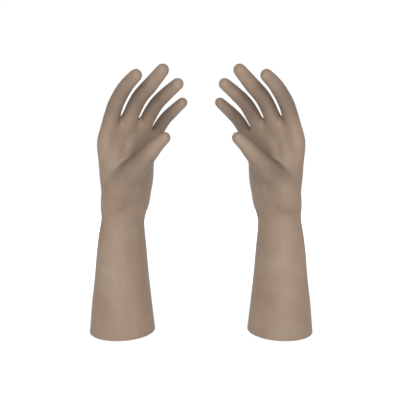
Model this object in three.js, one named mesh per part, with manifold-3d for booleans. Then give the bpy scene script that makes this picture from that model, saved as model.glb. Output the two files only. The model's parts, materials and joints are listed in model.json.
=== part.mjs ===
// A pair of electrical insulating gloves: one left and one right, moulded in natural rubber, standing on their
// open cuffs with the palms turned towards each other and the fingers in their relaxed, slightly curled shape.
//
// Each glove is a thin hollow shell. It is divided where the rubber folds: a gauntlet, a wrist fold, a hand, and
// for each digit a root fold, a base stall, a middle fold and a tip stall. The folds are the short bands that
// flex; everything past a fold hangs from a pivot group, whose local Y axis is the fold's hinge axis.
//
// Glove frame, in millimetres: the centre of the cuff's mouth is the origin, +X is the way the palm faces,
// +Y runs to the little finger's side and +Z runs up to the fingertips. The right glove is the left one mirrored.

import * as THREE from "three";
import { mergeVertices } from "three/addons/utils/BufferGeometryUtils.js";
import Module from "manifold-3d";

const wasm = await Module();
wasm.setup();

// ---------------------------------------------------------------- driving dimensions, in millimetres and degrees

const wall = 1.5; // rubber thickness of a class 1 glove
const gap = 0.3; // clearance where two pieces meet
const past = 1; // how far a solid that hollows another runs past the end that it opens
const cuffSpacing = 223; // between the centres of the two cuffs
const palmTurn = 43; // how far each palm is turned from the front towards the other glove
const armSides = 20; // facets round the gauntlet and the hand
const digitSides = 12; // facets round a finger
const armRingStep = 30; // greatest height of one row of facets on the gauntlet
const handRingStep = 22; // and on the hand
const digitRingStep = 10; // and along a digit

const wristHeight = 155; // the wrist fold's middle
const wristFold = 14; // its length
const digitFold = 9.5; // the length of each fold on a digit

// Sections of the sleeve and hand: height, half depth (palm to back), half width (thumb's side to little
// finger's side), the centre's offset palmward and outward, and how far the section is turned about Z.
const sections = [
  { z: 0, depth: 44, width: 47, palmward: 0, outward: 0, turn: 0 },
  { z: 42, depth: 39, width: 43.5, palmward: 0, outward: 0, turn: 0 },
  { z: 79, depth: 33.5, width: 40, palmward: 0.5, outward: 0.5, turn: 0 },
  { z: 121, depth: 28.5, width: 37, palmward: 1, outward: 1, turn: 0 },
  { z: 155, depth: 24, width: 34, palmward: 2, outward: 2, turn: 0 },
  { z: 174, depth: 23.5, width: 35, palmward: 4.5, outward: 4.5, turn: 0 },
  { z: 199, depth: 23, width: 38.5, palmward: 6, outward: 6, turn: 1 },
  { z: 230, depth: 22.5, width: 42, palmward: 8.5, outward: 6, turn: 3 },
  { z: 264, depth: 19, width: 44, palmward: 17.5, outward: 1.5, turn: 5 },
  { z: 306, depth: 13.5, width: 44, palmward: 39, outward: -1, turn: 12 },
];
const palmTop = 300; // where the hand closes between the fingers, at the middle finger
const knuckleDrop = 26; // how much lower that is at the little finger
const indexDrop = 14.3; // and at the index finger
const webRound = 9; // radius of the rounding there
const knuckleReach = 110; // how far below palmTop the knuckle line starts to fall away
const webRings = [30, 60, 90]; // where that rounding has its rows of facets, in degrees
const domeRings = [25, 50, 72]; // and the dome of a fingertip

// Each finger is a tapered tube on a curve: from start, three spans, each leaning from the upright towards the
// palm by its curl. Spread leans the whole finger towards the little finger's side. Folds are distances along
// the curve. Radii are at the start, the middle fold and the tip.
const fingers = [
  {
    name: "index",
    start: [22, -36, 268.5],
    spans: [51.5, 30, 27.5],
    curls: [20.5, 38.5, 57],
    spread: 2,
    folds: [46, 76],
    radii: [10.9, 9.6, 7.6],
  },
  {
    name: "middle",
    start: [28, -12.5, 282],
    spans: [53, 31.5, 29],
    curls: [36, 53, 53],
    spread: 1,
    folds: [44.5, 78],
    radii: [11.2, 9.5, 7.8],
  },
  {
    name: "ring",
    start: [33.5, 11, 278.5],
    spans: [49, 27.5, 25],
    curls: [39.5, 55, 60],
    spread: 1,
    folds: [41.5, 71.5],
    radii: [10.5, 8.6, 7.3],
  },
  {
    name: "little",
    start: [27.5, 32, 264.5],
    spans: [42, 22.5, 21],
    curls: [41, 54, 57.5],
    spread: 2,
    folds: [34.5, 60.5],
    radii: [10.1, 7.8, 6.6],
  },
];

// The thumb comes out of the heel of the hand and swings across the palm, so its curve is given by its points.
const thumb = {
  name: "thumb",
  points: [
    [11, -18, 190],
    [23, -19, 208],
    [41, -15, 228],
    [56, -9, 242],
    [68, -2, 256],
    [78, 3, 268],
    [87, 8, 277],
  ],
  hinge: [-0.16, -0.81, 0.52],
  folds: [67, 95],
  radii: [19, 10.3, 7.6],
};

const rubber = new THREE.MeshStandardMaterial({ color: 0xa08c7b, roughness: 0.7, metalness: 0 });

// ---------------------------------------------------------------- solids

const mergeDistance = 1e-3;

// A closed geometry as a manifold-3d solid, with only its vertex positions kept and merged.
function toSolid(geometry) {
  const bare = new THREE.BufferGeometry();
  bare.setAttribute("position", geometry.getAttribute("position"));
  bare.setIndex(geometry.getIndex());
  const merged = mergeVertices(bare, mergeDistance);
  return new wasm.Manifold(
    new wasm.Mesh({
      numProp: 3,
      vertProperties: merged.getAttribute("position").array,
      triVerts: new Uint32Array(merged.getIndex().array),
    }),
  );
}

function toGeometry(solid) {
  const mesh = solid.getMesh();
  const geometry = new THREE.BufferGeometry();
  geometry.setAttribute("position", new THREE.BufferAttribute(mesh.vertProperties, 3));
  geometry.setIndex(new THREE.BufferAttribute(mesh.triVerts, 1));
  return geometry;
}

// Even steps from low to high, no longer than step.
function stepsBetween(low, high, step) {
  const count = Math.max(1, Math.ceil((high - low) / step));
  return Array.from({ length: count + 1 }, (_, i) => low + ((high - low) * i) / count);
}

// A solid turned about Z from a profile of [radius, height], with every vertex then placed by place.
function shapedLathe(profile, sides, place) {
  const points = profile.map(([radius, height]) => new THREE.Vector2(radius, height));
  const geometry = new THREE.LatheGeometry(points, sides).rotateX(Math.PI / 2);
  const position = geometry.getAttribute("position");
  const vertex = new THREE.Vector3();
  for (let i = 0; i < position.count; i++) {
    place(vertex.fromBufferAttribute(position, i));
    position.setXYZ(i, vertex.x, vertex.y, vertex.z);
  }
  return toSolid(geometry);
}

// The closed profile of a wall: up its outer side and down its inner side, at radii that outer(height) gives.
function wallProfile(heights, outer) {
  const up = heights.map((z) => [outer(z), z]);
  const down = heights.map((z) => [outer(z) - wall, z]).reverse();
  return [...up, ...down, up[0]];
}

// ---------------------------------------------------------------- sleeve and hand

const armCentre = new THREE.CatmullRomCurve3(
  sections.map((s) => new THREE.Vector3(s.palmward, s.outward, s.z)),
  false,
  "catmullrom",
);
const armSize = new THREE.CatmullRomCurve3(
  sections.map((s) => new THREE.Vector3(s.depth, s.width, s.z)),
  false,
  "catmullrom",
);

const armTurn = new THREE.CatmullRomCurve3(
  sections.map((s) => new THREE.Vector3(s.turn, 0, s.z)),
  false,
  "catmullrom",
);

const halvings = 40;

// The centre and the half depth and width of the sleeve or hand at a height, found by halving.
function sectionAt(z) {
  let low = 0;
  let high = 1;
  for (let i = 0; i < halvings; i++) {
    const middle = (low + high) / 2;
    if (armCentre.getPoint(middle).z < z) low = middle;
    else high = middle;
  }
  const centre = armCentre.getPoint(low);
  const size = armSize.getPoint(low);
  const turn = THREE.MathUtils.degToRad(armTurn.getPoint(low).x);
  return { x: centre.x, y: centre.y, depth: size.x, width: size.y, turn };
}

// The sleeve and hand are turned as a cylinder of this radius, and a point further in than that is as much
// further in from the section's outline.
const latheRadius = 100;
const smallestRadius = 1e-6;

function placeOnSection(v) {
  const section = sectionAt(v.z);
  const radius = Math.hypot(v.x, v.y);
  const onAxis = radius < smallestRadius;
  const x = onAxis ? 0 : (v.x / radius) * (section.depth - latheRadius + radius);
  const y = onAxis ? 0 : (v.y / radius) * (section.width - latheRadius + radius);
  v.x = section.x + x * Math.cos(section.turn) + y * Math.sin(section.turn);
  v.y = section.y - x * Math.sin(section.turn) + y * Math.cos(section.turn);
}

// The knuckle line falls away from the middle finger to both sides, and most on the little finger's.
function knuckleLine(y) {
  const middleFinger = fingers[1].start[1];
  const side = (y - middleFinger) / sections.at(-1).width;
  return -(side > 0 ? knuckleDrop : indexDrop) * side * side;
}

// The hand without its digits, drawn in by inset: closed by a rounded top that follows the knuckle line.
function palmSolid(low, inset) {
  const radius = latheRadius - inset;
  const top = palmTop - inset;
  const heights = stepsBetween(low, top - webRound, handRingStep);
  const round = webRings.map((degrees) => {
    const angle = THREE.MathUtils.degToRad(degrees);
    return [radius - webRound * (1 - Math.cos(angle)), top - webRound * (1 - Math.sin(angle))];
  });
  const profile = [[0, low], ...heights.map((z) => [radius, z]), ...round, [0, top]];
  return shapedLathe(profile, armSides, (v) => {
    const share = Math.max(0, (v.z - palmTop + knuckleReach) / knuckleReach);
    placeOnSection(v);
    v.z += share * share * knuckleLine(v.y);
  });
}

// ---------------------------------------------------------------- digits

// Which way a span of a digit points.
function spanDirection(curl, spread) {
  const c = THREE.MathUtils.degToRad(curl);
  const s = THREE.MathUtils.degToRad(spread);
  return new THREE.Vector3(Math.sin(c), Math.cos(c) * Math.sin(s), Math.cos(c) * Math.cos(s));
}

// A digit's curve, its length, its hinge axis and its radius at a distance along it.
function digitLine(digit) {
  let points;
  let hinge;
  if (digit.points) {
    points = digit.points.map((p) => new THREE.Vector3(...p));
    hinge = new THREE.Vector3(...digit.hinge).normalize();
  } else {
    points = [new THREE.Vector3(...digit.start)];
    digit.spans.forEach((span, i) => {
      const direction = spanDirection(digit.curls[i], digit.spread);
      points.push(points.at(-1).clone().addScaledVector(direction, span));
    });
    hinge = new THREE.Vector3(0, 1, 0).applyAxisAngle(
      new THREE.Vector3(1, 0, 0),
      -THREE.MathUtils.degToRad(digit.spread),
    );
  }
  const curve = new THREE.CatmullRomCurve3(points, false, "centripetal");
  const length = curve.getLength();
  const middle = digit.folds[1];
  const [first, second, last] = digit.radii;
  const radius = (s) =>
    s < middle
      ? THREE.MathUtils.lerp(first, second, Math.max(0, s) / middle)
      : THREE.MathUtils.lerp(second, last, (s - middle) / (length - middle));
  return { curve, length, hinge, radius };
}

// The point, direction and side directions of a digit's curve at a distance along it, straight on past its ends.
function frameAt(line, s) {
  const inside = THREE.MathUtils.clamp(s / line.length, 0, 1);
  const along = line.curve.getTangentAt(inside);
  const origin = line.curve.getPointAt(inside).addScaledVector(along, s - inside * line.length);
  const across = new THREE.Vector3().crossVectors(line.hinge, along).normalize();
  const side = new THREE.Vector3().crossVectors(along, across);
  return { origin, across, side };
}

function placeOnLine(line) {
  return (v) => {
    const frame = frameAt(line, v.z);
    const { x, y } = v;
    v.copy(frame.origin).addScaledVector(frame.across, x).addScaledVector(frame.side, y);
  };
}

// The solid that a digit fills between two distances, drawn in by inset. It ends in a dome if domed is true.
function digitSolid(line, low, high, inset, domed = false) {
  const profile = [[0, low]];
  for (const s of stepsBetween(low, high, digitRingStep)) profile.push([line.radius(s) - inset, s]);
  const dome = domed ? line.radius(high) - inset : 0;
  for (const degrees of domed ? domeRings : []) {
    const angle = THREE.MathUtils.degToRad(degrees);
    profile.push([dome * Math.cos(angle), high + dome * Math.sin(angle)]);
  }
  profile.push([0, high + dome]);
  return shapedLathe(profile, digitSides, placeOnLine(line));
}

// A length of a digit's wall, open at both ends.
function digitTube(line, low, high) {
  const profile = wallProfile(stepsBetween(low, high, digitRingStep), line.radius);
  return shapedLathe(profile, digitSides, placeOnLine(line));
}

// A digit's tip, open at its lower end.
function digitTip(line, low) {
  const inside = digitSolid(line, low - past, line.length, wall, true);
  return digitSolid(line, low, line.length, 0, true).subtract(inside);
}

// ---------------------------------------------------------------- the pieces of one glove

const wristLow = wristHeight - wristFold / 2;
const wristHigh = wristHeight + wristFold / 2;

// A length of the sleeve's wall, open at both ends.
function armTube(low, high) {
  const profile = wallProfile(stepsBetween(low, high, armRingStep), () => latheRadius);
  return shapedLathe(profile, armSides, placeOnSection);
}

// The hand: palm, mound of the thumb and a short stub for each digit, hollow and open at the wrist and stubs.
function handShell(lines) {
  let outside = palmSolid(wristHigh + gap, 0);
  let inside = palmSolid(wristHigh - past, wall);
  for (const line of lines) {
    const end = line.folds[0] - digitFold / 2 - gap;
    outside = outside.add(digitSolid(line, 0, end, 0));
    inside = inside.add(digitSolid(line, wall, end + past, wall));
  }
  return outside.subtract(inside);
}

const lines = [thumb, ...fingers].map((digit) => ({ ...digit, ...digitLine(digit) }));

// The name, solid and pivot of every piece. A pivot's name is that of the fold it turns at.
const pieces = [
  { name: "gauntlet", solid: armTube(0, wristLow - gap) },
  { name: "wrist_fold", solid: armTube(wristLow, wristHigh) },
  { name: "hand", solid: handShell(lines), pivot: "wrist" },
];
const section = sectionAt(wristHeight);
const pivots = [
  {
    name: "wrist",
    origin: new THREE.Vector3(section.x, section.y, wristHeight),
    hinge: new THREE.Vector3(0, 1, 0),
  },
];
for (const line of lines) {
  const [root, middle] = line.folds;
  const half = digitFold / 2;
  const rootName = `${line.name}_root`;
  const middleName = `${line.name}_middle`;
  pieces.push(
    { name: `${rootName}_fold`, solid: digitTube(line, root - half, root + half), pivot: "wrist" },
    {
      name: `${line.name}_base`,
      solid: digitTube(line, root + half + gap, middle - half - gap),
      pivot: rootName,
    },
    { name: `${middleName}_fold`, solid: digitTube(line, middle - half, middle + half), pivot: rootName },
    { name: `${line.name}_tip`, solid: digitTip(line, middle + half + gap), pivot: middleName },
  );
  pivots.push(
    { name: rootName, parent: "wrist", origin: frameAt(line, root).origin, hinge: line.hinge },
    { name: middleName, parent: rootName, origin: frameAt(line, middle).origin, hinge: line.hinge },
  );
}

// One glove as a group: its pivots nested in one another, and its pieces hung from them.
function glove(side) {
  const group = new THREE.Group();
  const joints = new Map();
  for (const { name, parent, origin, hinge } of pivots) {
    const pivot = new THREE.Group();
    pivot.name = `${side}_${name}_pivot`;
    pivot.position.copy(origin);
    pivot.quaternion.setFromUnitVectors(new THREE.Vector3(0, 1, 0), hinge);
    group.add(pivot);
    if (parent) joints.get(parent).attach(pivot);
    joints.set(name, pivot);
  }
  for (const { name, solid, pivot } of pieces) {
    const mesh = new THREE.Mesh(toGeometry(solid), rubber);
    mesh.name = `${side}_${name}`;
    group.add(mesh);
    if (pivot) joints.get(pivot).attach(mesh);
  }
  group.position.x = -cuffSpacing / 2;
  group.rotation.z = THREE.MathUtils.degToRad(palmTurn - 90);
  return group;
}

// ---------------------------------------------------------------- the pair

const mirrored = new THREE.Group();
mirrored.scale.x = -1;
mirrored.add(glove("right"));

const pair = new THREE.Group();
pair.add(glove("left"), mirrored);

// The frame's origin is under the middle of the pair.
pair.updateMatrixWorld(true);
const box = new THREE.Box3().setFromObject(pair, true);
pair.position.y = -(box.min.y + box.max.y) / 2;

export default pair;
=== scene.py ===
import json
import math

import bpy
import numpy as np
from mathutils import Matrix, Vector

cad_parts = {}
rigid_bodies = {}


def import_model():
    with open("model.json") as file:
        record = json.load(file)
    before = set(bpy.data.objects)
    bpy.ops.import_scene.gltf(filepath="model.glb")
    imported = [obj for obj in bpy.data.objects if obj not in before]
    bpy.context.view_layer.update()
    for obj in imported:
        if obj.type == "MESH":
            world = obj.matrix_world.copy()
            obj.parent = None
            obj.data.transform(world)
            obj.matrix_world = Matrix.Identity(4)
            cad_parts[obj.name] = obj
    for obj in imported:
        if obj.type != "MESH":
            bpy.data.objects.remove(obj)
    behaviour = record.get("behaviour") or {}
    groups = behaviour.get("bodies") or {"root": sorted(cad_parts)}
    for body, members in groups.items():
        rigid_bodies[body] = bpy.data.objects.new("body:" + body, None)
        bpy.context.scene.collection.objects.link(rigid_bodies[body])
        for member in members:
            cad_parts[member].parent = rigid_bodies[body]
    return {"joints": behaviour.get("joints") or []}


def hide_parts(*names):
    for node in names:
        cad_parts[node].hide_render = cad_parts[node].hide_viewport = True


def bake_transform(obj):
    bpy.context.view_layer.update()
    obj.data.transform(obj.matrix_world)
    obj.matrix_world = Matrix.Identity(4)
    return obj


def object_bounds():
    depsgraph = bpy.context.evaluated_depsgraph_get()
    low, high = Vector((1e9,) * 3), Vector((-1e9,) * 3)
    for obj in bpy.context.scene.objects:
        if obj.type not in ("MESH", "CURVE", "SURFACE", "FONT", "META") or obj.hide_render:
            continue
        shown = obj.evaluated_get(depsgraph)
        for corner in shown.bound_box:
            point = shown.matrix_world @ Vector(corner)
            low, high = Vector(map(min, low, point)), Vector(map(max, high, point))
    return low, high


bl_info = {
    "name": "Rubber Insulating Gauntlets",
    "version": (1, 0, 0),
    "blender": (4, 5, 0),
    "location": "3D View > Sidebar > Gauntlets",
    "description": "Models a pair of dipped rubber insulating gauntlets around their packed frame",
    "category": "Add Mesh",
}

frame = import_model()
cad_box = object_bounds()

# ---------------------------------------------------------------- sizes, in millimetres and degrees

MM = 0.001

# The glove's own frame: the middle of the cuff's mouth is the origin, +X is the way the palm faces, +Y runs
# to the little finger and +Z up to the fingertips. Each section of the sleeve and palm gives its height, half
# depth, half width, offset towards the palm, offset outwards and turn about the upright.
SECTIONS = [
    (0, 44, 47, 0, 0, 0),
    (42, 39, 43.5, 0, 0, 0),
    (79, 33.5, 40, 0.5, 0.5, 0),
    (121, 28.5, 37, 1, 1, 0),
    (155, 24, 34, 2, 2, 0),
    (174, 23.5, 35, 4.5, 4.5, 0),
    (199, 23, 38.5, 6, 6, 1),
    (230, 22.5, 42, 8.5, 6, 3),
    (264, 19, 44, 17.5, 1.5, 5),
    (306, 13.5, 44, 39, -1, 12),
]
BELOW_CUFF = -12  # the sleeve is moulded past the cuff and trimmed there, as the real one is
PALM_TOP = 300.6  # where the hand closes between the fingers, at the middle finger
KNUCKLE_DROP = 26  # how much lower that is at the little finger
INDEX_DROP = 14.3  # and at the index finger
KNUCKLE_REACH = 110  # how far below the top the knuckle line starts to fall away
WEB_ROUND = 9  # radius of the rounding between the fingers
WEB_RINGS = (20, 40, 60, 78)  # angles of the rings of that rounding
SLEEVE_STEP = 7  # height of one ring of the sleeve
SLEEVE_SIDES = 64
DIGIT_STEP = 3  # length of one ring of a finger
DIGIT_SIDES = 28
HEEL_RINGS = 14
MOUND_RINGS = 24
DOME_RINGS = (14, 28, 42, 55, 67, 78, 86)  # angles of the rings of a domed fingertip
LINE_POINTS = 400  # points on a digit's middle line
LINE_SKIP = 4  # one point in so many is looked at for the nearest one
BATCH = 8000  # how many points are measured against a line at a time
LOOK_EITHER_SIDE = 0.7  # how far each side the line is read for its direction
HALVINGS = 30  # how closely a height is found on the sleeve
LEAST_TURN = 0.05  # the smallest turn of a section that is made, in degrees
SAME_LEVEL = 0.05  # how near a section's height its vertices are
LEAST_TILT = 1e-5  # the smallest turn of a tube's ring that is made, in radians

# A finger: where its middle line starts, three spans and how far each leans from the upright, its lean to the
# little finger's side, where along the line it bends, and its radii at the start, second bend and tip.
FINGERS = {
    "index": ((22, -36.4, 268.5), (51.5, 30, 27.5), (20.5, 38.5, 57), 2.7, (46, 76), (10.2, 9.6, 7.7)),
    "middle": ((28, -12, 282), (53, 31.5, 29), (36, 53, 53), 0.6, (44.5, 78), (10.55, 9.6, 7.8)),
    "ring": ((33.5, 10.4, 278.5), (49, 27.5, 25), (39.5, 55, 60), 1, (41.5, 71.5), (10, 8.6, 7.4)),
    "little": ((27.5, 32.8, 264.5), (42, 22.5, 21), (41, 54, 57.5), 2, (34.5, 60.5), (9, 7.8, 6.6)),
}

# The thumb: the knots of its middle line, where along the line it bends, and its radii as for a finger.
THUMB_LINE = (
    (11, -18, 190),
    (23, -19, 208),
    (41, -15, 228),
    (56, -9, 242),
    (68, -2, 256),
    (78, 3, 268),
    (87, 8, 277),
)
THUMB_BENDS = (67, 95)
THUMB_RADII = (16.5, 10.3, 7.6)

DIGITS = ("thumb", "index", "middle", "ring", "little")

# Each digit grows out of the hand from a heel deep inside it: the heel's middle, its radius, how much fuller
# the digit is at its foot than further up, and how far up that fullness reaches.
HEELS = {
    "thumb": ((2, -3, 128), 11, 3, 100),
    "index": ((9, -19, 226), 9, 1, 26),
    "middle": ((12, -8, 238), 9, 1.8, 34),
    "ring": ((15, 8, 234), 9, 1.6, 26),
    "little": ((11, 23, 224), 9, 0.8, 20),
}
SKIN_LOSS = 0.45  # how much smoothing takes off a finger's radius

# The mound at the foot of the thumb, which fills the space between thumb and palm, and the cushion that fills
# the palm between the thumb and the fingers: middles and radii.
MOUNDS = {
    "thumb_mound": (
        ((2, 0, 132), 12),
        ((6, -1, 165), 17.5),
        ((12, -2, 192), 18.5),
        ((24, -4, 211), 18),
        ((32, -5, 221), 14),
    ),
    "palm_edge": (
        ((14, -17, 214), 13),
        ((18, -20, 238), 14.5),
        ((22, -22, 262), 13.5),
        ((27, -21, 281), 10),
    ),
    "palm_cushion": (
        ((12, -8, 188), 16),
        ((20, -13, 214), 18),
        ((23, -12, 238), 15),
        ((28, -6, 260), 12),
        ((36, 0, 280), 9),
    ),
}

# Pushes that finish the form: the points pushed, the push, and how far round the rubber follows. A point is
# a place in the glove's frame, or a digit with a distance along it and an offset from its middle.
STROKES = {
    "index_finger_back": ([("index", 80, (0, -8, 0))], (1.1, 1.3, 0), 34),
    "index_finger_foot": ([("index", 12, (0, -11, 0))], (-0.9, -1.9, 0), 36),
    "thumb_underside": ([("thumb", 54, (5, 5, -8))], (1.7, 1.7, -2.2), 30),
    "little_finger_edge": ([(9, 44, 205), (6, 40, 185)], (1.3, 2.2, 0), 34),
    "wrist_edge": ([(6, -32, 180)], (0.6, 1.7, 0), 46),
    "heel_of_hand": ([(32, 26, 222)], (1.2, 0.4, 0), 24),
}

# The knuckles: how far along each finger, and how far they are pushed out of the back. They rise by a share
# of that push.
KNUCKLES = {"index": (6, 1.3), "middle": (4, 1.6), "ring": (2, 1.3), "little": (0, 1.2)}
KNUCKLE_RISE = 0.4
KNUCKLE_SPREAD = 13
SETTLING = 8  # how many times the form is smoothed after the pushes

MELT_FROM = 105  # height at which the extra smoothing of the hand starts
MELT_RISE = 40  # and how much further up it is full
MELT_SKIN = 5  # a stall's skin is what lies this near to its tube
MELT_CLEAR = 5  # the extra smoothing ends this far before a stall's seam
MELT_FADE = 16  # and fades over this length
MELT_LEVELS = 10

DIGIT_SHADE_SKIN = 4  # the painted shade along a digit is noted on what lies this near to its tube
STALL_SKIN = 4.6  # a stall is parted from what lies this near to its tube
SEAM_BAND = 5  # faces this far each side of a seam are cut through
SEAM_BACK = 3  # and faces from this far before it are looked through for the stall
SMOOTH_ANGLE = 50

WRIST_HEIGHT = 155
WRIST_OFFSET = 2  # how far the wrist's joint is from the cuff's middle, palmward and outward
BEND_REACH = 6.5  # and each side of a bend in a finger
SEAM_BEFORE = 7  # how far before its bend a finger's first length starts
THUMB_SEAM_BEFORE = 3.5  # nearer on the thumb, whose foot spreads into the palm

# The studio, in metres: the floor, the sun's name, place, power and spread in degrees, the softboxes
# by name with place, power and size, the world's brightness, and the camera.
FLOOR_SIZE = 40
FLOOR_DROP = 0.2 * MM
SUN_NAME, SUN_PLACE, SUN_POWER, SUN_SPREAD = "overhead_softbox", (0, -1, 0.8), 1.7, 60
SOFTBOXES = {
    "front_softbox": ((0, -0.6, 0.25), 2.2, 0.4),
    "back_softbox": ((0, 0.9, 0.3), 4.5, 0.7),
}
WORLD_AS_LIGHT = 0.74
WORLD_AS_SEEN = 1.02
CAMERA_PLACE = (0, -0.911, 0.3515)
CAMERA_AIM = (0, 0.0245, 0.1865)  # from the middle of the pair in depth
CAMERA_LENS = 62.2
CAMERA_SHIFT = -0.003


def linear(colour):
    """An sRGB hex colour as linear RGBA."""
    parts = [int(colour[i : i + 2], 16) / 255 for i in (0, 2, 4)]
    return [c / 12.92 if c <= 0.04045 else ((c + 0.055) / 1.055) ** 2.4 for c in parts] + [1.0]


class GauntletSizes(bpy.types.PropertyGroup):
    """The sizes of the rubber and of its moulded form."""

    wall: bpy.props.FloatProperty(
        name="Wall", description="Thickness of the rubber", default=1.5 * MM, min=0.5 * MM, unit="LENGTH"
    )
    grain: bpy.props.FloatProperty(
        name="Grain",
        description="Size of one face of the moulded form",
        default=1.44 * MM,
        min=1 * MM,
        unit="LENGTH",
    )
    softening: bpy.props.IntProperty(
        name="Softening", description="How many times the form is smoothed", default=16, min=0
    )
    melting: bpy.props.IntProperty(
        name="Melting", description="How many more times the palm and mounds are smoothed", default=90, min=0
    )


class GauntletColours(bpy.types.PropertyGroup):
    """The colours of the rubber and the floor."""

    rubber: bpy.props.FloatVectorProperty(
        name="Rubber",
        description="Main colour of the rubber",
        size=4,
        subtype="COLOR",
        default=linear("7C6A5B"),
    )
    thin: bpy.props.FloatVectorProperty(
        name="Thin dip",
        description="Where the latex ran thinner",
        size=4,
        subtype="COLOR",
        default=linear("807060"),
    )
    thick: bpy.props.FloatVectorProperty(
        name="Thick dip",
        description="Where the latex pooled",
        size=4,
        subtype="COLOR",
        default=linear("776557"),
    )
    lining: bpy.props.FloatVectorProperty(
        name="Lining",
        description="The powdered inner face",
        size=4,
        subtype="COLOR",
        default=linear("BCA893"),
    )
    floor: bpy.props.FloatVectorProperty(
        name="Floor",
        description="Colour of the studio floor",
        size=4,
        subtype="COLOR",
        default=linear("FAFAFA"),
    )


# ---------------------------------------------------------------- curves


def spline(points, t, even):
    """The point at t, from 0 to 1, on a smooth curve through points, its knots even or spaced by distance."""
    last = len(points) - 1
    i = min(int(t * last), last - 1)
    b, c = points[i], points[i + 1]
    a = points[i - 1] if i else 2 * b - c
    d = points[i + 2] if i + 2 <= last else 2 * c - b
    k0, k1, k2 = 1, 1, 1
    if not even:
        k0, k1, k2 = (math.sqrt(np.linalg.norm(q - p)) for p, q in ((a, b), (b, c), (c, d)))
    out = ((b - a) / k0 - (c - a) / (k0 + k1) + (c - b) / k1) * k1
    into = ((c - b) / k1 - (d - b) / (k1 + k2) + (d - c) / k2) * k1
    u = t * last - i
    return b + u * (out + u * (3 * (c - b) - 2 * out - into + u * (2 * (b - c) + out + into)))


class Line:
    """A digit's middle line, read by distance along it, and its radius there."""

    def __init__(self, name):
        if name == "thumb":
            points, self.bends, self.radii = THUMB_LINE, THUMB_BENDS, THUMB_RADII
            points = [np.array(p, float) for p in points]
        else:
            start, spans, leans, spread, self.bends, self.radii = FINGERS[name]
            points = [np.array(start, float)]
            s = math.radians(spread)
            for span, lean in zip(spans, leans):
                c = math.radians(lean)
                way = np.array((math.sin(c), math.cos(c) * math.sin(s), math.cos(c) * math.cos(s)))
                points.append(points[-1] + span * way)
        self.name = name
        heel, self.heel_radius, self.fullness, self.fullness_reach = HEELS[name]
        self.heel = np.array(heel, float)
        self.points = np.array([spline(points, t, False) for t in np.linspace(0, 1, LINE_POINTS)])
        steps = np.linalg.norm(np.diff(self.points, axis=0), axis=1)
        self.along = np.concatenate(([0], np.cumsum(steps)))
        self.length = self.along[-1]

    def inside(self, s):
        """The point at a distance along the line, between its ends."""
        return np.array([np.interp(s, self.along, self.points[:, k]) for k in range(3)])

    def at(self, s):
        """The point at a distance along the line, which runs on straight past its ends."""
        nearest = min(max(s, 0), self.length)
        return self.inside(nearest) + (s - nearest) * self.way(nearest)

    def way(self, s):
        """The direction of the line there."""
        span = 2 * LOOK_EITHER_SIDE
        low = min(max(s - LOOK_EITHER_SIDE, 0), self.length - span)
        step = self.inside(low + span) - self.inside(low)
        return step / np.linalg.norm(step)

    def radius(self, s):
        """The digit's radius there."""
        first, second, last = self.radii
        bend = self.bends[1]
        if s < bend:
            fuller = self.fullness * (1 - min(max(s, 0) / self.fullness_reach, 1) ** 2) ** 2
            return first + (second - first) * max(s, 0) / bend + fuller
        return second + (last - second) * (s - bend) / (self.length - bend)

    def foot(self, count):
        """Middles and radii from the heel up to the start of the line, as the tube bends into it."""
        reach = np.linalg.norm(self.points[0] - self.heel)
        knee = self.points[0] - self.way(0) * reach / 2
        radius = self.radius(0)
        for t in np.linspace(0, 1, count, endpoint=False):
            middle = (1 - t) ** 2 * self.heel + 2 * t * (1 - t) * knee + t**2 * self.points[0]
            yield middle, self.heel_radius + (radius - self.heel_radius) * t

    def seams(self):
        """Where this digit's two lengths of stall start, along the line."""
        first, second = self.bends
        before = THUMB_SEAM_BEFORE if self.name == "thumb" else SEAM_BEFORE
        return first - before, (first + second) / 2


LINES = {name: Line(name) for name in DIGITS}


def section_at(height):
    """Half depth, half width, palmward and outward offset, and turn of the sleeve at a height."""
    rows = [np.array(row, float) for row in SECTIONS]
    if height <= 0:
        foot, above = spline(rows, 0, True), spline(rows, 0.01, True)
        return (foot + (above - foot) * height / (above[0] - foot[0]))[1:]
    low, high = 0.0, 1.0
    for _ in range(HALVINGS):
        middle = (low + high) / 2
        if spline(rows, middle, True)[0] < height:
            low = middle
        else:
            high = middle
    return spline(rows, low, True)[1:]


# ---------------------------------------------------------------- modelling by hand


def only(obj):
    """Selects one object, and nothing else, and makes it the active one."""
    if bpy.context.object and bpy.context.object.mode != "OBJECT":
        bpy.ops.object.mode_set(mode="OBJECT")
    bpy.ops.object.select_all(action="DESELECT")
    obj.select_set(True)
    bpy.context.view_layer.objects.active = obj
    return obj


def edit(obj, kind="VERT"):
    """Enters edit mode on one object, to select by one kind of part."""
    only(obj)
    bpy.ops.object.mode_set(mode="EDIT")
    bpy.ops.mesh.select_mode(type=kind)


def choose(obj, chosen, kind="faces"):
    """Selects the chosen faces or vertices of a mesh, in object mode, and then enters edit mode with them."""
    only(obj)
    mesh = obj.data
    for part in (mesh.vertices, mesh.edges, mesh.polygons):
        part.foreach_set("select", np.zeros(len(part), bool))
    part = mesh.polygons if kind == "faces" else mesh.vertices
    part.foreach_set("select", np.asarray(chosen, bool))
    bpy.ops.object.mode_set(mode="EDIT")
    bpy.ops.mesh.select_mode(type="FACE" if kind == "faces" else "VERT")


def vertices(obj):
    """A mesh's vertices, in millimetres."""
    found = np.empty(len(obj.data.vertices) * 3)
    obj.data.vertices.foreach_get("co", found)
    return found.reshape(-1, 3) / MM


def face_middles(obj):
    """The middles of a mesh's faces, in millimetres."""
    found = np.empty(len(obj.data.polygons) * 3)
    obj.data.polygons.foreach_get("center", found)
    return found.reshape(-1, 3) / MM


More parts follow.
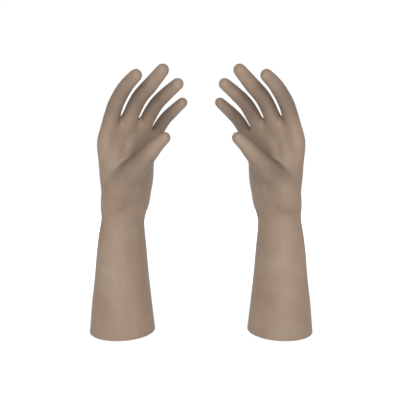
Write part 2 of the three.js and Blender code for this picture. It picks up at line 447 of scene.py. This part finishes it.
def turn_ring(middle, turn):
    """Turns what is selected about a point, by a small turn given as its axis times its angle."""
    for axis, angle in zip("XYZ", turn):
        if abs(angle) > LEAST_TILT:
            bpy.ops.transform.rotate(
                value=-angle, orient_axis=axis, orient_type="GLOBAL", center_override=Vector(middle) * MM
            )


def next_ring(move, middle, size):
    """Extrudes the end of a tube by a move, and sizes the new ring about its middle."""
    bpy.ops.mesh.extrude_region_move(TRANSFORM_OT_translate={"value": Vector(move) * MM})
    bpy.ops.transform.resize(value=size, center_override=Vector(middle) * MM)


def apply_modifier(obj, kind, **settings):
    """Adds a modifier with its settings and applies it."""
    modifier = obj.modifiers.new(kind.title(), kind)
    for key, value in settings.items():
        setattr(modifier, key, value)
    only(obj)
    bpy.ops.object.modifier_apply(modifier=modifier.name)


def sleeve_form():
    """The sleeve and palm as one closed, lofted tube."""
    heights = list(np.arange(BELOW_CUFF, PALM_TOP - WEB_ROUND, SLEEVE_STEP)) + [PALM_TOP - WEB_ROUND]
    rings = [(z, 0.0) for z in heights]
    for angle in WEB_RINGS:
        a = math.radians(angle)
        rings.append((PALM_TOP - WEB_ROUND * (1 - math.sin(a)), WEB_ROUND * (1 - math.cos(a))))
    shapes = []
    for z, inset in rings:
        depth, width, palmward, outward, turn = section_at(z)
        shapes.append((np.array((palmward, outward, z)), depth - inset, width - inset, turn))
    middle, depth, width, _ = shapes[0]
    bpy.ops.object.select_all(action="DESELECT")
    bpy.ops.mesh.primitive_circle_add(
        vertices=SLEEVE_SIDES, radius=MM, fill_type="NGON", location=Vector(middle) * MM
    )
    form = bpy.context.object
    form.name = "sleeve_form"
    bpy.ops.object.transform_apply(location=True, rotation=True, scale=True)
    edit(form, "FACE")
    bpy.ops.mesh.select_all(action="SELECT")
    bpy.ops.transform.resize(value=(depth, width, 1), center_override=Vector(middle) * MM)
    for old, new in zip(shapes, shapes[1:]):
        next_ring(new[0] - old[0], new[0], (new[1] / old[1], new[2] / old[2], 1))
    bpy.ops.object.mode_set(mode="OBJECT")
    z = vertices(form)[:, 2]
    for middle, _, _, turn in shapes:
        if turn > LEAST_TURN:
            choose(form, np.abs(z - middle[2]) < SAME_LEVEL, "vertices")
            turn_ring(middle, (0, 0, -math.radians(turn)))
            bpy.ops.object.mode_set(mode="OBJECT")
    # The knuckle line falls away to both sides of the middle finger.
    middle_finger = FINGERS["middle"][0][1]
    for vertex in form.data.vertices:
        share = max(0, (vertex.co.z / MM - PALM_TOP + KNUCKLE_REACH) / KNUCKLE_REACH)
        side = (vertex.co.y / MM - middle_finger) / SECTIONS[-1][2]
        vertex.co.z -= share**2 * side**2 * (KNUCKLE_DROP if side > 0 else INDEX_DROP) * MM
    return form


def digit_form(line):
    """A digit as a closed tapering tube, bent along its line, with a domed tip."""
    rings = list(line.foot(HEEL_RINGS))
    for s in np.linspace(0, line.length, round(line.length / DIGIT_STEP)):
        rings.append((line.at(s), line.radius(s) + SKIN_LOSS))
    tip = line.radius(line.length) + SKIN_LOSS
    for angle in DOME_RINGS:
        a = math.radians(angle)
        rings.append((line.at(line.length + tip * math.sin(a)), tip * math.cos(a)))
    return tube(f"{line.name}_form", rings)


def mound_form(name):
    """A mound of the palm as a closed tube inside the hand and the thumb's foot."""
    rows = [np.array((*middle, radius), float) for middle, radius in MOUNDS[name]]
    rings = [spline(rows, t, False) for t in np.linspace(0, 1, MOUND_RINGS)]
    return tube(name, [(ring[:3], ring[3]) for ring in rings])


def tube(name, rings):
    """A closed tube through rings, each a middle and a radius."""
    middles = np.array([middle for middle, _ in rings])
    ways = np.gradient(middles, axis=0)
    ways /= np.linalg.norm(ways, axis=1)[:, None]
    tilt = Vector((0, 0, 1)).rotation_difference(Vector(ways[0])).to_euler()
    bpy.ops.object.select_all(action="DESELECT")
    bpy.ops.mesh.primitive_circle_add(
        vertices=DIGIT_SIDES,
        radius=rings[0][1] * MM,
        fill_type="NGON",
        location=Vector(middles[0]) * MM,
        rotation=tilt,
    )
    form = bpy.context.object
    form.name = name
    bpy.ops.object.transform_apply(location=True, rotation=True, scale=True)
    edit(form, "FACE")
    bpy.ops.mesh.select_all(action="SELECT")
    for i in range(1, len(rings)):
        next_ring(middles[i] - middles[i - 1], middles[i], (rings[i][1] / rings[i - 1][1],) * 3)
        turn_ring(middles[i], np.cross(ways[i - 1], ways[i]))
    bpy.ops.object.mode_set(mode="OBJECT")
    return form


def nearest_on(line, co):
    """How far each point is off a digit's surface, and how far along the digit's line it is."""
    points, along = line.points[::LINE_SKIP], line.along[::LINE_SKIP]
    nearest = np.empty(len(co), int)
    gap = np.empty(len(co))
    for part in np.array_split(np.arange(len(co)), max(1, len(co) // BATCH)):
        gaps = np.linalg.norm(co[part, None, :] - points[None, :, :], axis=2)
        nearest[part] = gaps.argmin(1)
        gap[part] = gaps.min(1)
    radii = np.array([line.radius(s) for s in along])
    return gap - radii[nearest], along[nearest]


def stroke(form, points, move, reach):
    """Pushes a line of points on the form by a move, with the rubber round them following."""
    co = vertices(form)
    chosen = np.zeros(len(co), bool)
    for point in points:
        chosen[np.argmin(np.linalg.norm(co - np.array(point, float), axis=1))] = True
    choose(form, chosen, "vertices")
    bpy.ops.transform.translate(
        value=Vector(move) * MM,
        use_proportional_edit=True,
        use_proportional_connected=True,
        proportional_edit_falloff="SMOOTH",
        proportional_size=reach * MM,
    )
    bpy.ops.object.mode_set(mode="OBJECT")


# ---------------------------------------------------------------- place in the row frame


def place_of_left():
    """The left glove's own frame in the row frame, from its wrist's joint."""
    wrist = next(j for j in frame["joints"] if j["name"] == "left_wrist_flex")
    outward = Vector(wrist["axis"]).normalized()
    up = Vector((0, 0, 1))
    palmward = outward.cross(up).normalized()
    offset = WRIST_OFFSET * MM * (palmward + outward) + WRIST_HEIGHT * MM * up
    turn = Matrix((palmward, outward, up)).transposed().to_4x4()
    return Matrix.Translation(Vector(wrist["pos_m"]) - offset) @ turn


LEFT = place_of_left()
MIRROR = Matrix.Scale(-1, 4, (1, 0, 0))


def skins(side):
    """The names of one glove's pieces, from the sleeve to the tips."""
    stalls = [f"{side}_{digit}_stall_{part}" for digit in DIGITS for part in ("root", "tip")]
    return [f"{side}_sleeve_and_hand"] + stalls


# ---------------------------------------------------------------- rubber


def node(tree, kind, links=None, **settings):
    """Adds a node with its settings, and its sockets linked or set."""
    made = tree.nodes.new(kind)
    for key, value in settings.items():
        setattr(made, key, value)
    for socket, value in (links or {}).items():
        if isinstance(value, bpy.types.NodeSocket):
            tree.links.new(value, made.inputs[socket])
        else:
            made.inputs[socket].default_value = value
    return made


# Painted shade along the digits: the middles of the fingers are darkened where they face down and shade each
# other, and the tips are kept light where they catch the light: the share of a digit's length, and how much of
# the colour is left there.
PAINTED_DIGIT_SHADE = ((0.0, 0.93), (0.2, 0.93), (0.45, 0.7), (0.68, 0.72), (0.88, 0.9), (1.0, 0.94))

# The patterns in the rubber's skin: how big each is, the upright runs' scale in height, which draws them out
# long, where the three colours of the clouds stand, how deep the orange peel and the waves of the dip are, and
# how dull the rubber is outside and inside.
CLOUDS = 38
RUNS = 9
RUN_HEIGHT_SCALE = 0.08
SPECKLE = 1.6
PEEL = 0.9
WAVES = 14
CLOUD_STOPS = (0.3, 0.5, 0.72)
PEEL_DEPTH = 0.1 * MM
WAVE_DEPTH = 0.6 * MM
RUBBER_ROUGHNESS = 0.52
LINING_ROUGHNESS = 0.7

MIX_SHARE, MIX_A, MIX_B, MIX_COLOUR = 0, 6, 7, 2  # sockets of a Mix node set to colours


def per_metre(millimetres):
    """The noise scale whose features are about this size."""
    return 1 / (millimetres * MM)


def rubber_material(name, main, thin, thick, roughness):
    """Natural rubber latex, dipped in layers on a porcelain former and cured: the eye sees an even, satin
    skin with soft clouds, faint upright runs where the latex drained, and a fine orange peel."""
    material = bpy.data.materials.new(name)
    material.use_nodes = True
    tree = material.node_tree
    tree.nodes.clear()
    place = node(tree, "ShaderNodeTexCoord").outputs["Object"]
    clouds = node(tree, "ShaderNodeTexNoise", {"Vector": place, "Scale": per_metre(CLOUDS), "Detail": 3.0})
    upright = node(tree, "ShaderNodeMapping", {"Vector": place, "Scale": (1, 1, RUN_HEIGHT_SCALE)}).outputs[0]
    runs = node(tree, "ShaderNodeTexNoise", {"Vector": upright, "Scale": per_metre(RUNS), "Detail": 2.0})
    # Painted shade: the middles of the fingers are darkened and the tips kept light, standing in for how light
    # falls on them.
    digit_shade_share = node(tree, "ShaderNodeAttribute", attribute_name="drain").outputs["Fac"]
    digit_shade_ramp = node(tree, "ShaderNodeValToRGB", {"Fac": digit_shade_share})
    digit_shade_ramp.color_ramp.interpolation = "EASE"
    for i, (position, level) in enumerate(PAINTED_DIGIT_SHADE):
        if i > 1:
            digit_shade_ramp.color_ramp.elements.new(position)
        digit_shade_ramp.color_ramp.elements[i].position = position
        digit_shade_ramp.color_ramp.elements[i].color = (level, level, level, 1)
    speckle = node(tree, "ShaderNodeTexNoise", {"Vector": place, "Scale": per_metre(SPECKLE), "Detail": 2.0})
    clouded = node(tree, "ShaderNodeValToRGB", {"Fac": clouds.outputs["Fac"]})
    ramp = clouded.color_ramp
    ramp.elements[0].position, ramp.elements[0].color = CLOUD_STOPS[0], thick
    ramp.elements[1].position, ramp.elements[1].color = CLOUD_STOPS[2], thin
    ramp.elements.new(CLOUD_STOPS[1]).color = main
    layers = (
        ("SOFT_LIGHT", 0.1, runs.outputs["Fac"]),
        ("SOFT_LIGHT", 0.06, speckle.outputs["Fac"]),
        # the painted shade along the digits
        ("MULTIPLY", 1.0, digit_shade_ramp.outputs["Color"]),
    )
    colour = clouded.outputs["Color"]
    for blend, share, over in layers:
        links = {MIX_SHARE: share, MIX_A: colour, MIX_B: over}
        colour = node(tree, "ShaderNodeMix", links, data_type="RGBA", blend_type=blend).outputs[MIX_COLOUR]
    dull = node(
        tree,
        "ShaderNodeMapRange",
        {"Value": clouds.outputs["Fac"], "To Min": roughness - 0.06, "To Max": roughness + 0.08},
    )
    peel = node(tree, "ShaderNodeTexNoise", {"Vector": place, "Scale": per_metre(PEEL), "Detail": 2.0})
    waves = node(tree, "ShaderNodeTexNoise", {"Vector": upright, "Scale": per_metre(WAVES), "Detail": 1.0})
    wave = {"Strength": 0.35, "Distance": WAVE_DEPTH, "Height": waves.outputs["Fac"]}
    waved = node(tree, "ShaderNodeBump", wave).outputs[0]
    orange = {"Strength": 0.25, "Distance": PEEL_DEPTH, "Height": peel.outputs["Fac"], "Normal": waved}
    bumped = node(tree, "ShaderNodeBump", orange)
    shader = node(
        tree,
        "ShaderNodeBsdfPrincipled",
        {
            "Base Color": colour,
            "Roughness": dull.outputs[0],
            "IOR": 1.52,
            "Normal": bumped.outputs[0],
            "Specular IOR Level": 0.25,
        },
    )
    node(tree, "ShaderNodeOutputMaterial", {"Surface": shader.outputs[0]})
    return material


# ---------------------------------------------------------------- operators


class GAUNTLET_OT_hand_form(bpy.types.Operator):
    """Model the left glove's outer form, from the cuff to the fingertips"""

    bl_idname = "gauntlet.hand_form"
    bl_label = "Hand Form"

    def execute(self, context):
        sizes = context.scene.gauntlet_sizes
        parts = [sleeve_form(), *map(mound_form, MOUNDS), *map(digit_form, LINES.values())]
        only(parts[0])
        for part in parts:
            part.select_set(True)
        bpy.ops.object.join()
        form = context.object
        form.name = "left_form"
        edit(form)
        bpy.ops.mesh.select_all(action="SELECT")
        bpy.ops.mesh.normals_make_consistent(inside=False)
        bpy.ops.object.mode_set(mode="OBJECT")
        apply_modifier(form, "REMESH", mode="VOXEL", voxel_size=sizes.grain, use_smooth_shade=True)
        apply_modifier(form, "SMOOTH", factor=0.5, iterations=sizes.softening)
        self.melt(form, sizes.melting)
        self.shape(form)
        self.settle(form)
        self.trim(form)
        # notes each vertex's share along its digit, for the painted shade of the fingers
        self.drain(form)
        return {"FINISHED"}

    def melt(self, form, times):
        """Smooths the hand further where its mounds and fingers run into each other, but not the stalls."""
        co = vertices(form)
        soft = np.clip((co[:, 2] - MELT_FROM) / MELT_RISE, 0, 1)
        for line in LINES.values():
            off, along = nearest_on(line, co)
            free = np.clip((line.seams()[0] - MELT_CLEAR - along) / MELT_FADE, 0, 1)
            soft = np.where(np.abs(off) < MELT_SKIN, np.minimum(soft, free), soft)
        group = form.vertex_groups.new(name="melting")
        for level in range(1, MELT_LEVELS + 1):
            chosen = np.flatnonzero(np.ceil(soft * MELT_LEVELS) == level)
            group.add(chosen.tolist(), level / MELT_LEVELS, "REPLACE")
        apply_modifier(form, "SMOOTH", factor=0.5, iterations=times, vertex_group="melting")
        form.vertex_groups.clear()

    def shape(self, form):
        """The fullness of the palm's edges and the heel of the hand, and the knuckles on the back."""
        for places, move, reach in STROKES.values():
            stroke(form, [self.place(*point) for point in places], move, reach)
        for digit, (height, push) in KNUCKLES.items():
            line = LINES[digit]
            back = line.at(height) - np.array((line.radius(height), 0, 0))
            stroke(form, [back], (-push, 0, KNUCKLE_RISE * push), KNUCKLE_SPREAD)

    def place(self, first, second, third):
        """A point of a stroke in the glove's frame."""
        if first in LINES:
            return LINES[first].at(second) + np.array(third)
        return first, second, third

    def settle(self, form):
        """Lets the strokes run into the rubber around them."""
        apply_modifier(form, "SMOOTH", factor=0.5, iterations=SETTLING)

    def drain(self, form):
        """Notes on each vertex how far out along its digit it is, for the painted shade along the digits."""
        co = vertices(form)
        share = np.zeros(len(co))
        for line in LINES.values():
            off, along = nearest_on(line, co)
            share = np.where(np.abs(off) < DIGIT_SHADE_SKIN, np.maximum(share, along / line.length), share)
        noted = form.data.attributes.new("drain", "FLOAT", "POINT")
        noted.data.foreach_set("value", share.astype(np.float32))

    def trim(self, form):
        """Cuts the cuff level, as it is trimmed when the glove comes off the former."""
        edit(form)
        bpy.ops.mesh.select_all(action="SELECT")
        bpy.ops.mesh.bisect(plane_co=(0, 0, 0), plane_no=(0, 0, 1), clear_inner=True)
        bpy.ops.object.mode_set(mode="OBJECT")


class GAUNTLET_OT_stalls(bpy.types.Operator):
    """Part the stall of each left digit from the form, in a root length and a tip length"""

    bl_idname = "gauntlet.stalls"
    bl_label = "Stalls"

    def execute(self, context):
        form = bpy.data.objects["left_form"]
        for line in LINES.values():
            root, tip = line.seams()
            for s, part in ((tip, "tip"), (root, "root")):
                self.cut(form, line, s)
                piece = self.part(form, line, s)
                piece.name = f"left_{line.name}_stall_{part}"
        form.name = "left_sleeve_and_hand"
        for name in skins("left"):
            bpy.data.objects[name].data.transform(LEFT)
        return {"FINISHED"}

    def near(self, form, line, low):
        """Which faces lie on a digit's tube past a distance along its line, and how far along each is."""
        co = face_middles(form)
        off, along = nearest_on(line, co)
        found = (np.abs(off) < STALL_SKIN) & (along > low)
        for other in LINES.values():
            if other is not line:
                index = np.flatnonzero(found)
                found[index] = np.abs(off[index]) < np.abs(nearest_on(other, co[index])[0])
        return found, along

    def cut(self, form, line, s):
        """Cuts a ring of edges square across a digit."""
        found, along = self.near(form, line, s - SEAM_BAND)
        choose(form, found & (along < s + SEAM_BAND))
        bpy.ops.mesh.bisect(plane_co=Vector(line.at(s)) * MM, plane_no=Vector(line.way(s)))
        bpy.ops.object.mode_set(mode="OBJECT")

    def part(self, form, line, s):
        """Parts from the form what lies past that ring, as a piece of its own."""
        found, _ = self.near(form, line, s - SEAM_BACK)
        past = (face_middles(form) - line.at(s)) @ line.way(s) > 0
        if not (found & past).any():
            raise RuntimeError(f"no faces to part on the {line.name}")
        before = set(bpy.data.objects)
        choose(form, found & past)
        bpy.ops.mesh.separate(type="SELECTED")
        bpy.ops.object.mode_set(mode="OBJECT")
        return next(o for o in bpy.data.objects if o not in before)


class GAUNTLET_OT_right_glove(bpy.types.Operator):
    """Copy each skin of the left glove and mirror it for the right one"""

    bl_idname = "gauntlet.right_glove"
    bl_label = "Right Glove"

    def execute(self, context):
        for left, right in zip(skins("left"), skins("right")):
            only(bpy.data.objects[left])
            bpy.ops.object.duplicate()
            copy = context.object
            copy.name = right
            copy.data.transform(MIRROR)
            edit(copy)
            bpy.ops.mesh.select_all(action="SELECT")
            bpy.ops.mesh.flip_normals()
            bpy.ops.object.mode_set(mode="OBJECT")
        return {"FINISHED"}


class GAUNTLET_OT_walls(bpy.types.Operator):
    """Give each skin its wall and its rubber, and hide the parts of the frame that it covers"""

    bl_idname = "gauntlet.walls"
    bl_label = "Walls"

    def execute(self, context):
        colours = context.scene.gauntlet_colours
        main, thin, thick, lining = (
            list(colour) for colour in (colours.rubber, colours.thin, colours.thick, colours.lining)
        )
        outer = rubber_material("dipped_natural_rubber", main, thin, thick, RUBBER_ROUGHNESS)
        inner = rubber_material("powdered_rubber_lining", lining, thin, main, LINING_ROUGHNESS)
        for side in ("left", "right"):
            for name in skins(side):
                self.wall(bpy.data.objects[name], context.scene.gauntlet_sizes.wall, outer, inner)
            self.join(side)
        return {"FINISHED"}

    def wall(self, piece, thickness, outer, inner):
        """Turns a skin into a wall of rubber, with its lining inside."""
        piece.data.materials.clear()
        piece.data.materials.append(outer)
        piece.data.materials.append(inner)
        apply_modifier(
            piece,
            "SOLIDIFY",
            thickness=thickness,
            offset=-1,
            use_rim=True,
            use_quality_normals=True,
            material_offset=1,
            material_offset_rim=0,
        )
        only(piece)
        bpy.ops.object.shade_smooth_by_angle(angle=math.radians(SMOOTH_ANGLE))

    def join(self, side):
        """Fixes each piece of a glove in place and hides the parts of the frame that it covers."""

        def place(point):
            here = LEFT @ (Vector(point) * MM)
            return tuple(here) if side == "left" else tuple(MIRROR @ here)

        sleeve = bpy.data.objects[f"{side}_sleeve_and_hand"]
        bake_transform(sleeve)
        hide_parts(f"{side}_gauntlet", f"{side}_wrist_fold", f"{side}_hand")
        for digit, line in LINES.items():
            lengths = (
                ("root", (f"{side}_{digit}_root_fold", f"{side}_{digit}_base")),
                ("tip", (f"{side}_{digit}_middle_fold", f"{side}_{digit}_tip")),
            )
            for i, (part, nodes) in enumerate(lengths):
                piece = bpy.data.objects[f"{side}_{digit}_stall_{part}"]
                bend = line.bends[i]
                start = max(bend - BEND_REACH, line.seams()[i])
                ends = [place(line.at(s)) for s in (start, bend + BEND_REACH)]
                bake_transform(piece)
                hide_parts(*nodes)


class GAUNTLET_OT_studio(bpy.types.Operator):
    """Lay the floor, hang the lights and set up the camera"""

    bl_idname = "gauntlet.studio"
    bl_label = "Studio"

    def execute(self, context):
        scene = context.scene
        bpy.ops.object.select_all(action="DESELECT")
        bpy.ops.mesh.primitive_plane_add(size=FLOOR_SIZE, location=(0, 0, -FLOOR_DROP))
        floor = context.object
        floor.name = "floor"
        floor.data.materials.append(self.floor_material(scene.gauntlet_colours.floor))
        bpy.ops.object.transform_apply(location=True, rotation=True, scale=True)
        middle = (cad_box[0] + cad_box[1]) / 2
        self.lamp(SUN_NAME, "SUN", SUN_PLACE, Vector(), SUN_POWER, angle=math.radians(SUN_SPREAD))
        for name, (place, power, size) in SOFTBOXES.items():
            softbox = self.lamp(name, "AREA", place, middle, power, shape="DISK", size=size)
            softbox.visible_camera = False
        world = bpy.data.worlds.new("studio_white")
        world.use_nodes = True
        tree = world.node_tree
        tree.nodes.clear()
        # White where it is seen, and dimmer as a light, so that the lamps shape the rubber.
        seen = node(tree, "ShaderNodeLightPath").outputs["Is Camera Ray"]
        levels = {"Value": seen, "To Min": WORLD_AS_LIGHT, "To Max": WORLD_AS_SEEN}
        strength = node(tree, "ShaderNodeMapRange", levels)
        sky = node(tree, "ShaderNodeBackground", {"Color": (1, 1, 1, 1), "Strength": strength.outputs[0]})
        node(tree, "ShaderNodeOutputWorld", {"Surface": sky.outputs[0]})
        scene.world = world
        scene.view_settings.view_transform = "Standard"
        bpy.ops.object.camera_add(location=CAMERA_PLACE)
        camera = context.object
        camera.name = "camera"
        target = Vector(CAMERA_AIM) + Vector((0, middle.y, 0))
        camera.rotation_mode = "QUATERNION"
        camera.rotation_quaternion = (target - camera.location).to_track_quat("-Z", "Y")
        camera.data.lens = CAMERA_LENS
        camera.data.shift_x = CAMERA_SHIFT
        scene.camera = camera
        return {"FINISHED"}

    def lamp(self, name, kind, place, target, power, **settings):
        """Hangs a lamp and turns it to its target."""
        light = bpy.data.lights.new(name, kind)
        light.energy = power
        for key, value in settings.items():
            setattr(light, key, value)
        lamp = bpy.data.objects.new(name, light)
        bpy.context.scene.collection.objects.link(lamp)
        lamp.location = place
        lamp.rotation_mode = "QUATERNION"
        lamp.rotation_quaternion = (target - Vector(place)).to_track_quat("-Z", "Y")
        return lamp

    def floor_material(self, colour):
        """Matt white studio paper, flat and even, so that nothing on the floor draws the eye."""
        material = bpy.data.materials.new("studio_paper")
        material.use_nodes = True
        tree = material.node_tree
        shader = tree.nodes["Principled BSDF"]
        shader.inputs["Base Color"].default_value = list(colour)
        shader.inputs["Roughness"].default_value = 0.9
        return material


class GAUNTLET_PT_panel(bpy.types.Panel):
    """The steps that model the pair, in order"""

    bl_idname = "GAUNTLET_PT_panel"
    bl_label = "Rubber Gauntlets"
    bl_space_type = "VIEW_3D"
    bl_region_type = "UI"
    bl_category = "Gauntlets"

    def draw(self, context):
        for step in STEPS:
            self.layout.operator(step.bl_idname)
        for group in (context.scene.gauntlet_sizes, context.scene.gauntlet_colours):
            for key in group.__annotations__:
                self.layout.prop(group, key)


STEPS = (
    GAUNTLET_OT_hand_form,
    GAUNTLET_OT_stalls,
    GAUNTLET_OT_right_glove,
    GAUNTLET_OT_walls,
    GAUNTLET_OT_studio,
)
CLASSES = (GauntletSizes, GauntletColours, *STEPS, GAUNTLET_PT_panel)


def register():
    for cls in CLASSES:
        bpy.utils.register_class(cls)
    bpy.types.Scene.gauntlet_sizes = bpy.props.PointerProperty(type=GauntletSizes)
    bpy.types.Scene.gauntlet_colours = bpy.props.PointerProperty(type=GauntletColours)


def unregister():
    del bpy.types.Scene.gauntlet_colours
    del bpy.types.Scene.gauntlet_sizes
    for cls in reversed(CLASSES):
        bpy.utils.unregister_class(cls)


def main():
    register()
    bpy.ops.gauntlet.hand_form()
    bpy.ops.gauntlet.stalls()
    bpy.ops.gauntlet.right_glove()
    bpy.ops.gauntlet.walls()
    bpy.ops.gauntlet.studio()
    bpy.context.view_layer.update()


if __name__ == "__main__":
    main()
